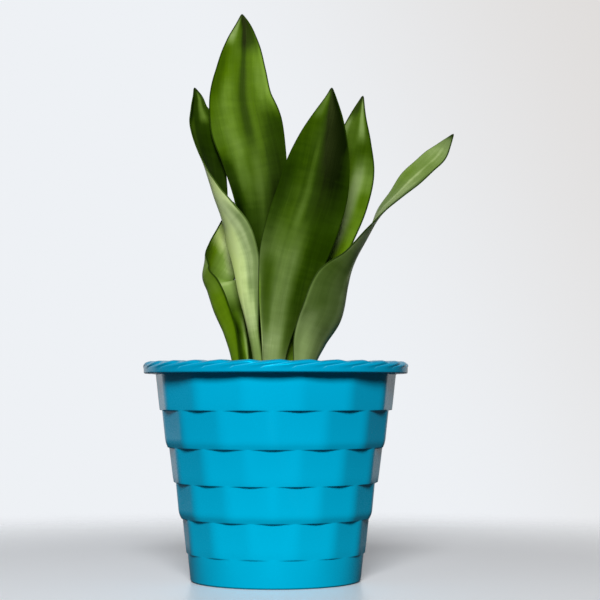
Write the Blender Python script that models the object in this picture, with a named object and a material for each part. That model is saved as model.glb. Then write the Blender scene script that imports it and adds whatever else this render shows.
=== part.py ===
"""Snake plant in a faceted blue pot.

Six leaves of one rosette stand in plain holes in the potting soil, which fills a moulded pot with
five faceted tiers, a plain base band and a rolled rim with twisted ridges.
Metres, +Z up. The origin is the centre of the pot's underside, and -Y is the front.
"""

import math

import bmesh
import bpy
import numpy as np
from mathutils import Vector, noise

# Pot: overall sizes
RIM_RADIUS = 0.0948
RIM_UNDERSIDE = 0.1476
RIM_HEIGHT = 0.0077
RIM_BULGE = 0.0032
RIM_ROLL = 0.0050
RIM_INNER_RADIUS = 0.0805
RIM_INNER_ROUND = 0.0040

# Pot: the rim's outline outside and inside, as a direction in degrees from level, how much of a ridge
# stands there and how much of its sweep is done
RIM_OUTSIDE = (
    (-90, 0.0, 0.00),
    (-45, 0.0, 0.00),
    (-10, 0.0, 0.00),
    (8, 0.3, 0.00),
    (24, 1.0, 0.08),
    (52, 1.0, 0.22),
    (82, 1.0, 0.42),
)
RIM_INSIDE = (
    (95, 1.0, 0.72),
    (130, 0.8, 0.88),
    (175, 0.0, 1.00),
)
RIDGES = 28
RIDGE_HEIGHT = 0.0010
RIDGE_SWEEP = math.radians(17.0)
RIDGE_START = math.radians(8.1)
RIDGE_STEPS = (0.0, 0.35, 0.70, 0.97)

# Pot: faceted tiers, each with the height and corner radius of its top and of its bottom edge
SIDES = 14
FACET = 2.0 * math.pi / SIDES
FACET_TURN = math.radians(-0.7)
CORNER_CUT = 0.0052
CORNER_STEPS = (0.0, 0.5, 1.0)
TIERS = (
    (0.1470, 0.0870, 0.1217, 0.0842),
    (0.1212, 0.0826, 0.0952, 0.0797),
    (0.0947, 0.0771, 0.0701, 0.0740),
    (0.0696, 0.0725, 0.0448, 0.0700),
    (0.0443, 0.0673, 0.0200, 0.0647),
)

# Pot: base band, underside and inside
BASE_TOP = 0.0195
BASE_TOP_RADIUS = 0.0629
BASE_RADIUS = 0.0608
BASE_ROUNDING = 0.0010
ROUND_SIDES = 56
FOOT_INNER_RADIUS = 0.0550
BOSS_RADIUS = 0.0110
RECESS_DEPTH = 0.0015
RECESS_SLOPE = 0.0010
FLOOR_TOP = 0.0040
FLOOR_RADIUS = 0.0560
WALL_TOP = 0.1500
DRAIN_HOLES = 6
DRAIN_RADIUS = 0.0040
DRAIN_SIDES = 16
DRAIN_CIRCLE = 0.0360

# Soil
GAP = 0.0003
SOIL_LEVEL = 0.1365
SOIL_MOUND = 0.0022
SOIL_LUMP = 0.0110
SOIL_LUMP_RISE = 0.0011
SOIL_CRUMB = 0.0055
SOIL_CRUMB_RISE = 0.0006
SOIL_RINGS = 14
SOIL_SIDES = 48

# Leaves: the stretch in the soil, the blade's thickness at parts of its length, and how finely it is cut
LEAF_END = 0.1120
LEAF_STRAIGHT = (LEAF_END, 0.1260, 0.1400)
HOLE_TOP = 0.1500
THICKNESS_PARTS = (0.0, 0.15, 0.5, 1.0)
THICKNESSES = (0.0042, 0.0042, 0.0026, 0.0014)
MARGIN_THICKNESS = 0.0009
SECTION_STEPS = (-1.0, -0.78, -0.42, 0.0, 0.42, 0.78, 1.0)
CUP_LEVEL = 1.0 / 3.0
LEAF_ROWS = 26
TIP_CROWDING = 1.35

# Each station is x, y, z, half width, turn in degrees and cup. A turn of 0 points the inner, hollow
# face at -Y and 90 points it at +X. The cup is the depth of the hollow over the half width.
LEAVES = {
    "leaf_back_tall": (
        (-0.0090, 0.0225, 0.150, 0.0138, 4, 0.22),
        (-0.0090, 0.0218, 0.180, 0.0138, 4, 0.24),
        (-0.0088, 0.0196, 0.210, 0.0134, 4, 0.28),
        (-0.0092, 0.0160, 0.242, 0.0158, 4, 0.32),
        (-0.0120, 0.0146, 0.279, 0.0198, 5, 0.30),
        (-0.0165, 0.0152, 0.306, 0.0240, 6, 0.25),
        (-0.0226, 0.0160, 0.331, 0.0266, 6, 0.22),
        (-0.0264, 0.0168, 0.350, 0.0234, 6, 0.20),
        (-0.0262, 0.0178, 0.371, 0.0187, 6, 0.20),
        (-0.0252, 0.0188, 0.392, 0.0124, 6, 0.20),
        (-0.0249, 0.0196, 0.406, 0.0056, 6, 0.20),
        (-0.0256, 0.0200, 0.414, 0.0007, 6, 0.20),
    ),
    "leaf_left_twisted": (
        (-0.0127, -0.0010, 0.150, 0.0046, 141, 0.20),
        (-0.0167, -0.0020, 0.179, 0.0053, 141, 0.18),
        (-0.0202, -0.0040, 0.205, 0.0098, 141, 0.16),
        (-0.0237, -0.0060, 0.233, 0.0144, 136, 0.16),
        (-0.0303, -0.0060, 0.251, 0.0176, 124, 0.20),
        (-0.0362, -0.0045, 0.262, 0.0180, 109, 0.26),
        (-0.0410, -0.0015, 0.273, 0.0180, 91, 0.32),
        (-0.0450, 0.0030, 0.287, 0.0172, 74, 0.30),
        (-0.0481, 0.0072, 0.302, 0.0172, 62, 0.22),
        (-0.0515, 0.0100, 0.318, 0.0182, 54, 0.24),
        (-0.0548, 0.0120, 0.334, 0.0134, 44, 0.24),
        (-0.0571, 0.0128, 0.343, 0.0078, 41, 0.22),
        (-0.0579, 0.0134, 0.350, 0.0050, 40, 0.20),
        (-0.0602, 0.0140, 0.358, 0.0007, 38, 0.20),
    ),
    "leaf_front_centre": (
        (-0.0020, -0.0100, 0.150, 0.0080, 176, 0.42),
        (-0.0005, -0.0130, 0.168, 0.0100, 176, 0.40),
        (0.0042, -0.0200, 0.199, 0.0172, 175, 0.34),
        (0.0124, -0.0260, 0.234, 0.0246, 174, 0.28),
        (0.0196, -0.0280, 0.256, 0.0262, 173, 0.24),
        (0.0254, -0.0290, 0.274, 0.0256, 172, 0.22),
        (0.0288, -0.0300, 0.290, 0.0239, 172, 0.20),
        (0.0336, -0.0305, 0.313, 0.0180, 172, 0.20),
        (0.0375, -0.0305, 0.332, 0.0100, 172, 0.20),
        (0.0393, -0.0300, 0.343, 0.0042, 172, 0.20),
        (0.0400, -0.0298, 0.350, 0.0007, 172, 0.20),
    ),
    "leaf_back_right": (
        (0.0108, 0.0040, 0.150, 0.0072, -20, 0.45),
        (0.0165, 0.0040, 0.178, 0.0094, -20, 0.42),
        (0.0238, 0.0040, 0.200, 0.0118, -20, 0.38),
        (0.0337, 0.0040, 0.229, 0.0160, -18, 0.32),
        (0.0407, 0.0045, 0.250, 0.0188, -16, 0.28),
        (0.0478, 0.0055, 0.272, 0.0203, -14, 0.25),
        (0.0534, 0.0065, 0.296, 0.0192, -12, 0.22),
        (0.0568, 0.0075, 0.316, 0.0134, -12, 0.20),
        (0.0602, 0.0085, 0.337, 0.0058, -12, 0.20),
        (0.0635, 0.0090, 0.351, 0.0007, -12, 0.20),
    ),
    "leaf_right_reaching": (
        (0.0212, -0.0100, 0.150, 0.0085, -152, 0.45),
        (0.0262, -0.0140, 0.170, 0.0140, -148, 0.42),
        (0.0353, -0.0200, 0.189, 0.0188, -141, 0.36),
        (0.0432, -0.0245, 0.214, 0.0180, -130, 0.28),
        (0.0540, -0.0265, 0.230, 0.0152, -107, 0.14),
        (0.0660, -0.0275, 0.248, 0.0168, -94, 0.05),
        (0.0764, -0.0280, 0.264, 0.0180, -80, 0.03),
        (0.0860, -0.0282, 0.274, 0.0186, -74, 0.04),
        (0.0962, -0.0286, 0.285, 0.0192, -66, 0.05),
        (0.1060, -0.0290, 0.294, 0.0176, -64, 0.06),
        (0.1147, -0.0290, 0.302, 0.0142, -60, 0.08),
        (0.1210, -0.0290, 0.310, 0.0076, -61, 0.08),
        (0.1262, -0.0290, 0.317, 0.0007, -62, 0.08),
    ),
    "leaf_left_channelled": (
        (-0.0266, 0.0030, 0.150, 0.0080, 66, 0.94),
        (-0.0322, 0.0060, 0.177, 0.0119, 75, 1.00),
        (-0.0394, 0.0110, 0.196, 0.0152, 73, 1.05),
        (-0.0440, 0.0150, 0.210, 0.0173, 68, 0.92),
        (-0.0474, 0.0185, 0.219, 0.0193, 63, 0.70),
        (-0.0450, 0.0210, 0.228, 0.0178, 46, 0.50),
        (-0.0402, 0.0235, 0.239, 0.0156, 39, 0.40),
        (-0.0360, 0.0252, 0.251, 0.0118, 36, 0.32),
        (-0.0336, 0.0262, 0.262, 0.0074, 32, 0.28),
        (-0.0318, 0.0268, 0.275, 0.0007, 28, 0.22),
    ),
}

# Faces that meet at more than this many degrees keep a sharp edge
HARD_ANGLE = 30.0
LEAF_HARD_ANGLE = 50.0

# Colours, as Blender's linear values, and how rough each surface is
PLASTIC_BLUE = (0.001, 0.413, 0.686)
SOIL_BROWN = (0.045, 0.026, 0.016)
LEAF_GREENS = {
    "leaf_back_tall": (0.120, 0.245, 0.035),
    "leaf_left_twisted": (0.330, 0.440, 0.160),
    "leaf_front_centre": (0.050, 0.105, 0.010),
    "leaf_back_right": (0.080, 0.160, 0.025),
    "leaf_right_reaching": (0.190, 0.330, 0.090),
    "leaf_left_channelled": (0.100, 0.210, 0.020),
}
PLASTIC_ROUGHNESS = 0.30
SOIL_ROUGHNESS = 0.95
LEAF_ROUGHNESS = 0.42


def clear_scene():
    """Remove every object, so that the script starts from nothing."""
    for item in list(bpy.data.objects):
        bpy.data.objects.remove(item)


def make_material(name, colour, roughness):
    """Return a plain material of one colour."""
    material = bpy.data.materials.new(name)
    material.use_nodes = True
    shader = material.node_tree.nodes["Principled BSDF"]
    shader.inputs["Base Color"].default_value = (*colour, 1.0)
    shader.inputs["Roughness"].default_value = roughness
    shader.inputs["Metallic"].default_value = 0.0
    return material


def make_object(name, bm, material=None, hard_angle=HARD_ANGLE):
    """Turn a bmesh into an object with outward faces."""
    bmesh.ops.recalc_face_normals(bm, faces=bm.faces)
    mesh = bpy.data.meshes.new(name)
    bm.to_mesh(mesh)
    bm.free()
    mesh.shade_smooth()
    mesh.set_sharp_from_angle(angle=math.radians(hard_angle))
    item = bpy.data.objects.new(name, mesh)
    bpy.context.collection.objects.link(item)
    if material:
        mesh.materials.append(material)
    return item


def cut_from(target, cutter):
    """Cut one hidden solid out of an object."""
    cutter.hide_render = True
    cutter.display_type = "WIRE"
    modifier = target.modifiers.new(cutter.name, "BOOLEAN")
    modifier.operation = "DIFFERENCE"
    modifier.solver = "EXACT"
    modifier.object = cutter


def polar(radius, angle, height):
    """Return the point at an angle that is counted from the front towards +X."""
    return Vector((radius * math.sin(angle), -radius * math.cos(angle), height))


def add_ring(bm, points):
    """Add one closed ring of vertices."""
    return [bm.verts.new(point) for point in points]


def join_rings(bm, first, second):
    """Join two rings that have the same number of vertices."""
    count = len(first)
    for index in range(count):
        after = (index + 1) % count
        bm.faces.new((first[index], first[after], second[after], second[index]))


def ring_angles(ring, start):
    """Return the angle of each vertex, and of the first again after one turn, counted from start."""
    angles = []
    for vertex in ring:
        angle = math.atan2(vertex.co.x, -vertex.co.y) - start
        while angles and angle < angles[-1]:
            angle += 2.0 * math.pi
        angles.append(angle)
    angles.append(angles[0] + 2.0 * math.pi)
    return angles


def zip_rings(bm, first, second):
    """Join two rings of any number of vertices with triangles, walking round both at once."""
    start = math.atan2(first[0].co.x, -first[0].co.y)
    offsets = [(math.atan2(v.co.x, -v.co.y) - start + math.pi) % (2.0 * math.pi) for v in second]
    nearest = min(range(len(second)), key=lambda index: abs(offsets[index] - math.pi))
    second = second[nearest:] + second[:nearest]
    angles_first = ring_angles(first, start)
    angles_second = ring_angles(second, start)
    shift = round(angles_second[0] / (2.0 * math.pi)) * 2.0 * math.pi
    angles_second = [angle - shift for angle in angles_second]
    here = 0
    there = 0
    while here < len(first) or there < len(second):
        a = first[here % len(first)]
        b = second[there % len(second)]
        step_first = there == len(second)
        if not step_first and here < len(first):
            step_first = angles_first[here + 1] <= angles_second[there + 1]
        if step_first:
            here += 1
            bm.faces.new((a, first[here % len(first)], b))
        else:
            there += 1
            bm.faces.new((a, second[there % len(second)], b))


def close_ring(bm, ring, height):
    """Close a round ring with a fan to a vertex on the axis."""
    centre = bm.verts.new((0.0, 0.0, height))
    for index, vertex in enumerate(ring):
        bm.faces.new((vertex, ring[(index + 1) % len(ring)], centre))


def round_ring(bm, radius, height, sides=ROUND_SIDES):
    """Add a plain round ring."""
    return add_ring(bm, [polar(radius, 2.0 * math.pi * i / sides, height) for i in range(sides)])


def tier_ring(bm, radius, height, turn):
    """Add one 14-sided outline whose corners are rounded."""
    corners = [polar(radius, turn + side * FACET, height) for side in range(SIDES)]
    edge = 2.0 * radius * math.sin(FACET / 2.0)
    points = []
    for side, corner in enumerate(corners):
        before = corner.lerp(corners[side - 1], CORNER_CUT / edge)
        after = corner.lerp(corners[(side + 1) % SIDES], CORNER_CUT / edge)
        for t in CORNER_STEPS:
            points.append(before.lerp(corner, t).lerp(corner.lerp(after, t), t))
    return add_ring(bm, points)


def rim_profile():
    """Return the rim's outline from its underside, round the outside and over the top to the inside.

    Each point is a radius, a height, the outward direction there, how much of a ridge stands on it
    and how far the ridge has swept round by then.
    """
    roll_centre = RIM_RADIUS - RIM_ROLL
    bulge = RIM_UNDERSIDE + RIM_BULGE
    top = RIM_UNDERSIDE + RIM_HEIGHT
    profile = []
    for degrees, lift, sweep in RIM_OUTSIDE:
        outward = (math.cos(math.radians(degrees)), math.sin(math.radians(degrees)))
        rise = RIM_BULGE if degrees < 0.0 else top - bulge
        radius = roll_centre + RIM_ROLL * outward[0]
        profile.append((radius, bulge + rise * outward[1], outward, lift, sweep))
    inner_centre = RIM_INNER_RADIUS + RIM_INNER_ROUND
    for degrees, lift, sweep in RIM_INSIDE:
        outward = (math.cos(math.radians(degrees)), math.sin(math.radians(degrees)))
        radius = inner_centre + RIM_INNER_ROUND * outward[0]
        height = top - RIM_INNER_ROUND + RIM_INNER_ROUND * outward[1]
        profile.append((radius, height, outward, lift, sweep))
    return profile


def rim_ring(bm, radius, height, outward, lift, sweep):
    """Add one ring of the rim, raised into ridges that rise slowly and drop sharply."""
    points = []
    for ridge in range(RIDGES):
        for step in RIDGE_STEPS:
            angle = RIDGE_START + (ridge + step) * 2.0 * math.pi / RIDGES + sweep * RIDGE_SWEEP
            rise = RIDGE_HEIGHT * lift * step / RIDGE_STEPS[-1]
            points.append(polar(radius + outward[0] * rise, angle, height + outward[1] * rise))
    return add_ring(bm, points)


def wall_radius(height):
    """Return the radius of the pot's inside at a height."""
    slope = (RIM_INNER_RADIUS - FLOOR_RADIUS) / (WALL_TOP - FLOOR_TOP)
    return FLOOR_RADIUS + slope * (height - FLOOR_TOP)


def build_pot():
    """Build the pot as one shell: rim, tiers, base band, underside and inside."""
    bm = bmesh.new()
    rim = [rim_ring(bm, *point) for point in rim_profile()]
    for first, second in zip(rim, rim[1:]):
        join_rings(bm, first, second)
    above = rim[0]
    for number, (top, top_radius, bottom, bottom_radius) in enumerate(TIERS):
        turn = FACET_TURN + (FACET / 2.0 if number % 2 == 0 else 0.0)
        upper = tier_ring(bm, top_radius, top, turn)
        lower = tier_ring(bm, bottom_radius, bottom, turn)
        zip_rings(bm, above, upper)
        join_rings(bm, upper, lower)
        above = lower
    underside = (
        (BASE_TOP_RADIUS, BASE_TOP),
        (BASE_RADIUS, BASE_ROUNDING),
        (BASE_RADIUS - BASE_ROUNDING, 0.0),
        (FOOT_INNER_RADIUS, 0.0),
        (FOOT_INNER_RADIUS - RECESS_SLOPE, RECESS_DEPTH),
        (BOSS_RADIUS + RECESS_SLOPE, RECESS_DEPTH),
        (BOSS_RADIUS, 0.0),
    )
    rings = [round_ring(bm, radius, height) for radius, height in underside]
    zip_rings(bm, above, rings[0])
    for first, second in zip(rings, rings[1:]):
        join_rings(bm, first, second)
    close_ring(bm, rings[-1], 0.0)
    wall = [round_ring(bm, wall_radius(height), height) for height in (WALL_TOP, FLOOR_TOP)]
    zip_rings(bm, rim[-1], wall[0])
    join_rings(bm, *wall)
    close_ring(bm, wall[1], FLOOR_TOP)
    pot = make_object("pot", bm, make_material("blue_plastic", PLASTIC_BLUE, PLASTIC_ROUGHNESS))
    cut_from(pot, build_drain_cutter())
    return pot


def build_drain_cutter():
    """Build the pins that cut the ring of drain holes through the pot's floor."""
    bm = bmesh.new()
    middle = (FLOOR_TOP + RECESS_DEPTH) / 2.0
    for hole in range(DRAIN_HOLES):
        place = polar(DRAIN_CIRCLE, hole * 2.0 * math.pi / DRAIN_HOLES, middle)
        pin = bmesh.ops.create_cone(bm, cap_ends=True, segments=DRAIN_SIDES, radius1=DRAIN_RADIUS,
                                    radius2=DRAIN_RADIUS, depth=2.0 * FLOOR_TOP)
        bmesh.ops.translate(bm, verts=pin["verts"], vec=place)
    return make_object("drain_cutter", bm)


def smooth_track(stations):
    """Return LEAF_ROWS rows on a smooth curve through the stations, closer together at the tip."""
    points = np.array(stations, dtype=float)
    steps = np.linalg.norm(np.diff(points[:, :3], axis=0), axis=1)
    along = np.concatenate(((0.0,), np.cumsum(steps)))
    slopes = np.diff(points, axis=0) / steps[:, None]
    tangents = np.vstack((slopes[:1], slopes[:-1], slopes[-1:]))
    weight = steps[:-1] / (steps[:-1] + steps[1:])
    tangents[1:-1] = slopes[:-1] * (1.0 - weight)[:, None] + slopes[1:] * weight[:, None]
    tangents[-1] = slopes[-1]
    rows = []
    for part in np.linspace(0.0, 1.0, LEAF_ROWS):
        place = along[-1] * (1.0 - (1.0 - part) ** TIP_CROWDING)
        index = min(int(np.searchsorted(along, place, side="right")) - 1, len(steps) - 1)
        span = steps[index]
        t = (place - along[index]) / span
        rows.append(
            (2 * t**3 - 3 * t**2 + 1) * points[index]
            + (t**3 - 2 * t**2 + t) * span * tangents[index]
            + (3 * t**2 - 2 * t**3) * points[index + 1]
            + (t**3 - t**2) * span * tangents[index + 1]
        )
    return np.array(rows)


def full_stations(stations):
    """Put the straight stretch that stands in the soil before the first station."""
    first = stations[0]
    buried = [(first[0], first[1], height, *first[3:]) for height in LEAF_STRAIGHT]
    return buried + list(stations)


def blade_thickness(part):
    """Return the thickness along the middle of the blade, from its base at 0 to its tip at 1."""
    return float(np.interp(part, THICKNESS_PARTS, THICKNESSES))


def section(half_width, cup, thickness, grow=0.0):
    """Return the outline's points across the inner face and across the outer face.

    Each point is a distance across the blade and a height towards the inner face.
    """
    inner = []
    outer = []
    for u in SECTION_STEPS:
        across = u * half_width
        level = cup * half_width * (u * u - CUP_LEVEL)
        lean = 2.0 * cup * u
        length = math.hypot(lean, 1.0)
        thick = MARGIN_THICKNESS + (thickness - MARGIN_THICKNESS) * (1.0 - u * u)
        half = thick / 2.0 + grow
        edge = grow * u if abs(u) == 1.0 else 0.0
        inner.append((across - half * lean / length + edge, level + half / length + edge * lean))
        outer.append((across + half * lean / length + edge, level - half / length + edge * lean))
    return inner, outer


def row_frames(rows):
    """Return each row's point, its direction across the blade and its direction to the inner face."""
    centres = rows[:, :3]
    tangents = np.gradient(centres, axis=0)
    frames = []
    for centre, tangent, row in zip(centres, tangents, rows):
        along = Vector(tangent).normalized()
        front = Vector((0.0, -1.0, 0.0))
        front = (front - along * front.dot(along)).normalized()
        side = along.cross(front)
        turn = math.radians(row[4])
        inward = front * math.cos(turn) + side * math.sin(turn)
        across = side * math.cos(turn) - front * math.sin(turn)
        frames.append((Vector(centre), across, inward))
    return frames


def skin_sections(bm, inner_rows, outer_rows):
    """Join rows of vertices into a closed blade, cut into triangles alike on both faces."""
    last = len(SECTION_STEPS) - 1
    for row in range(len(inner_rows) - 1):
        inner, inner_next = inner_rows[row], inner_rows[row + 1]
        outer, outer_next = outer_rows[row], outer_rows[row + 1]
        for step in range(last):
            bm.faces.new((inner[step], inner[step + 1], inner_next[step + 1]))
            bm.faces.new((inner[step], inner_next[step + 1], inner_next[step]))
            bm.faces.new((outer[step + 1], outer[step], outer_next[step + 1]))
            bm.faces.new((outer_next[step + 1], outer[step], outer_next[step]))
        bm.faces.new((outer[0], inner[0], inner_next[0], outer_next[0]))
        bm.faces.new((inner[last], outer[last], outer_next[last], inner_next[last]))
    for inner, outer in ((inner_rows[0], outer_rows[0]), (inner_rows[-1], outer_rows[-1])):
        for step in range(last):
            bm.faces.new((inner[step], outer[step], outer[step + 1], inner[step + 1]))


def build_leaf(name, stations):
    """Build one leaf as a closed blade along its stations."""
    rows = smooth_track(full_stations(stations))
    bm = bmesh.new()
    inner_rows = []
    outer_rows = []
    for index, (centre, across, inward) in enumerate(row_frames(rows)):
        thickness = blade_thickness(index / (LEAF_ROWS - 1))
        inner, outer = section(rows[index][3], rows[index][5], thickness)
        inner_rows.append([bm.verts.new(centre + across * a + inward * b) for a, b in inner])
        outer_rows.append([bm.verts.new(centre + across * a + inward * b) for a, b in outer])
    skin_sections(bm, inner_rows, outer_rows)
    green = make_material(name + "_green", LEAF_GREENS[name], LEAF_ROUGHNESS)
    return make_object(name, bm, green, LEAF_HARD_ANGLE)


def build_hole_cutter(name, stations):
    """Build the plain upright hole that a leaf's base stands in."""
    x, y, _, half_width, turn, cup = stations[0]
    inner, outer = section(half_width, cup, THICKNESSES[0], GAP)
    angle = math.radians(turn)
    bm = bmesh.new()
    inner_rows = []
    outer_rows = []
    for height in (LEAF_END - GAP, HOLE_TOP):
        for points, rows in ((inner, inner_rows), (outer, outer_rows)):
            rows.append([
                bm.verts.new((x + a * math.cos(angle) + b * math.sin(angle),
                              y + a * math.sin(angle) - b * math.cos(angle), height))
                for a, b in points
            ])
    skin_sections(bm, inner_rows, outer_rows)
    return make_object(name + "_hole", bm)


def soil_height(x, y):
    """Return the height of the soil's surface: a low mound with lumps and crumbs on it."""
    outward = math.hypot(x, y) / wall_radius(SOIL_LEVEL)
    lumps = noise.noise(Vector((x, y, 0.0)) / SOIL_LUMP)
    crumbs = noise.noise(Vector((x, y, SOIL_LUMP)) / SOIL_CRUMB)
    mound = SOIL_MOUND * (1.0 - outward * outward)
    return SOIL_LEVEL + mound + SOIL_LUMP_RISE * lumps + SOIL_CRUMB_RISE * crumbs


def build_soil():
    """Build the soil that fills the pot, with a lumpy top and one hole for each leaf."""
    bm = bmesh.new()
    surface = []
    for ring in range(1, SOIL_RINGS + 1):
        radius = (wall_radius(SOIL_LEVEL) - 2.0 * GAP) * ring / SOIL_RINGS
        spots = [polar(radius, 2.0 * math.pi * i / SOIL_SIDES, 0.0) for i in range(SOIL_SIDES)]
        surface.append(add_ring(bm, [(s.x, s.y, soil_height(s.x, s.y)) for s in spots]))
    for first, second in zip(surface, surface[1:]):
        join_rings(bm, first, second)
    close_ring(bm, surface[0], soil_height(0.0, 0.0))
    bottom = round_ring(bm, wall_radius(FLOOR_TOP + GAP) - 2.0 * GAP, FLOOR_TOP + GAP, SOIL_SIDES)
    join_rings(bm, surface[-1], bottom)
    close_ring(bm, bottom, FLOOR_TOP + GAP)
    soil = make_object("soil", bm, make_material("potting_soil", SOIL_BROWN, SOIL_ROUGHNESS))
    for name, stations in LEAVES.items():
        cut_from(soil, build_hole_cutter(name, stations))
    return soil


def main():
    clear_scene()
    build_pot()
    build_soil()
    for name, stations in LEAVES.items():
        build_leaf(name, stations)


main()
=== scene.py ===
"""How the snake plant in its faceted blue pot looks.

Every piece here is a finer form of a solid in the frame: the leaves follow the same stations, the pot
the same outline, and the soil the same mound. Metres, +Z up, -Y is the front.
"""

import math
import random

import bmesh
import bpy
import numpy as np
from mathutils import Matrix, Vector, noise


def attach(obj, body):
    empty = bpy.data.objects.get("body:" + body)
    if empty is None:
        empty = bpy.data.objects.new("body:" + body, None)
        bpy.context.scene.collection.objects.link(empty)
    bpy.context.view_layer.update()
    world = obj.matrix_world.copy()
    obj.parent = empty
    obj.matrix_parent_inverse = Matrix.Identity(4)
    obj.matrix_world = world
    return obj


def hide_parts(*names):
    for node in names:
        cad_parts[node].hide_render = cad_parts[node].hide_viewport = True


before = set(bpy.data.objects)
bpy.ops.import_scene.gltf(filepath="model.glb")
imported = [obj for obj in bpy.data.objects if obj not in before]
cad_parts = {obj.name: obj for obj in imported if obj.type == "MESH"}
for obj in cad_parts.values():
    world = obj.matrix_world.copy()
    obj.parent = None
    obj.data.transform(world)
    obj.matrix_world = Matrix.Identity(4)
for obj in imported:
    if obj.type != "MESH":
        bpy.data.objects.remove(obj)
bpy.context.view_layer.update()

# Camera, as the photograph was taken: a long lens a little above the middle of the pot
CAMERA_PLACE = (0.0174, -1.225, 0.132)
CAMERA_TILT = math.radians(3.215)
CAMERA_LENS = 102.0
CAMERA_SENSOR = 36.0
CAMERA_NEAR = 0.05

# Pot: overall sizes
RIM_RADIUS = 0.0948
RIM_UNDERSIDE = 0.1476
RIM_HEIGHT = 0.0077
RIM_BULGE = 0.0032
RIM_ROLL = 0.0050
RIM_INNER_RADIUS = 0.0805
RIM_INNER_ROUND = 0.0040

# Pot: ridges on the rim, with how high, how far swept round and how bright the painted highlight on
# their edge is at each direction of the roll
RIDGES = 28
RIDGE_HEIGHT = 0.0010
RIDGE_SWEEP = math.tau / RIDGES
RIDGE_START = math.radians(7.3)
RIDGE_DIRECTIONS = (-90, 3, 10, 18, 32, 46, 60, 90, 135, 175)
RIDGE_LIFTS = (0.0, 0.0, 0.36, 0.72, 0.95, 1.0, 1.0, 1.0, 0.8, 0.0)
RIDGE_SWEEPS = (0.0, 0.0, 0.22, 0.46, 0.74, 0.94, 1.0, 1.04, 1.25, 1.35)
RIDGE_PAINTED_HIGHLIGHTS = (0.0, 0.0, 1.0, 0.65, 0.6, 0.5, 0.3, 0.0, 0.0, 0.0)
RIDGE_STEPS = (0.0, 0.03, 0.16, 0.30, 0.42, 0.52, 0.60, 0.68, 0.76, 0.84, 0.91, 0.97)
RIDGE_CREST = 0.58
RIDGE_ROUNDNESS = 0.35
RIM_SQUARENESS = 0.25
RIM_TOP_SQUARENESS = 0.75
RIM_OUTER_ARC = (-90.0, 82.0)
RIM_OUTER_STEPS = 24
RIM_INNER_ARC = (96.0, 175.0)
RIM_INNER_STEPS = 8

# Pot: faceted tiers, each with the height and corner radius of its top and of its bottom edge. The
# bottom edge of each tier curls in to the top of the next.
SIDES = 14
FACET = math.tau / SIDES
FACET_TURN = math.radians(-0.7)
CORNER_CUT = 0.0052
CORNER_PASSES = 5
HALF_FACET_STEPS = 12
EVEN_STEPS_PART = 0.35
TIERS = (
    (0.1470, 0.0870, 0.1217, 0.0842),
    (0.1212, 0.0826, 0.0952, 0.0797),
    (0.0947, 0.0771, 0.0701, 0.0740),
    (0.0696, 0.0725, 0.0448, 0.0700),
    (0.0443, 0.0673, 0.0200, 0.0647),
)
TIER_CURL = 0.0040
TIER_CURL_ROUND = 0.0030
TIER_EDGE_ROUND = 0.0005
LONGEST_ROUND_PART = 0.4
ROUND_STEPS = 4

# Pot: base band, underside and inside
BASE_TOP = 0.0195
BASE_TOP_RADIUS = 0.0629
BASE_RADIUS = 0.0608
BASE_ROUNDING = 0.0010
FOOT_INNER_RADIUS = 0.0550
BOSS_RADIUS = 0.0110
RECESS_DEPTH = 0.0015
RECESS_SLOPE = 0.0010
SMALL_ROUND = 0.0003
FLOOR_TOP = 0.0040
FLOOR_RADIUS = 0.0560
WALL_TOP = 0.1500
DRAIN_HOLES = 6
DRAIN_RADIUS = 0.0040
DRAIN_SIDES = 32
DRAIN_CIRCLE = 0.0360
SHARP_ANGLE = math.radians(50.0)

# Soil
GAP = 0.0003
SOIL_LEVEL = 0.1365
SOIL_MOUND = 0.0022
SOIL_LUMP = 0.0110
SOIL_LUMP_RISE = 0.0011
SOIL_CRUMB = 0.0055
SOIL_CRUMB_RISE = 0.0006
SOIL_GRAIN = 0.0021
SOIL_GRAIN_RISE = 0.0005
SOIL_RINGS = 90
SOIL_SIDES = 180
SOIL_DARK = (34, 22, 15)
SOIL_LIGHT = (78, 56, 40)
SOIL_PATTERN = 220.0
SOIL_ROUGHNESS = (0.75, 0.95)
SOIL_BUMP = 0.0006

# Litter on the soil: name, number, smallest and largest half length, width and height as parts of
# the length, dark colour, light colour and pattern scale. Each grain is a ball with a swollen surface.
LITTER = (
    ("soil_crumbs", 520, 0.0008, 0.0021, 0.85, 0.70, (34, 22, 15), (92, 66, 46), 420.0),
    ("bark_chips", 90, 0.0024, 0.0058, 0.55, 0.22, (62, 38, 23), (132, 92, 60), 260.0),
    ("perlite_grains", 70, 0.0007, 0.0016, 0.90, 0.80, (198, 194, 182), (240, 238, 230), 700.0),
)
LITTER_SEED = 11
LITTER_CLEARANCE = 0.0032
LITTER_TILT = 0.35
LITTER_RAISE = 0.45
LITTER_SWELL = 0.55
LITTER_SWELL_SCALE = 1.4
LITTER_SPREAD = 90.0
FOOT_POINTS = 13

# Leaves
LEAF_END = 0.1120
LEAF_STRAIGHT = (LEAF_END, 0.1260, 0.1400)
THICKNESS_PARTS = (0.0, 0.15, 0.5, 1.0)
THICKNESSES = (0.0042, 0.0042, 0.0026, 0.0014)
MARGIN_THICKNESS = 0.0009
CUP_LEVEL = 1.0 / 3.0
LEAF_ROWS = 170
LEAF_COLUMNS = 45
COLUMN_CROWDING = 0.94
EDGE_ARC = (45.0, 90.0, 135.0)
TIP_CROWDING = 1.35
TIP_ROUND = 0.0012
TIP_SMALLEST = 0.03
STROKE_EDGE = 3.0
STROKE_FADE = 4.0
PATTERN_STEP = 7.0
MARGIN_LINE = 0.00035
NEEDLE_LENGTH = 0.0035
NEEDLE_TONE = -0.9

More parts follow.
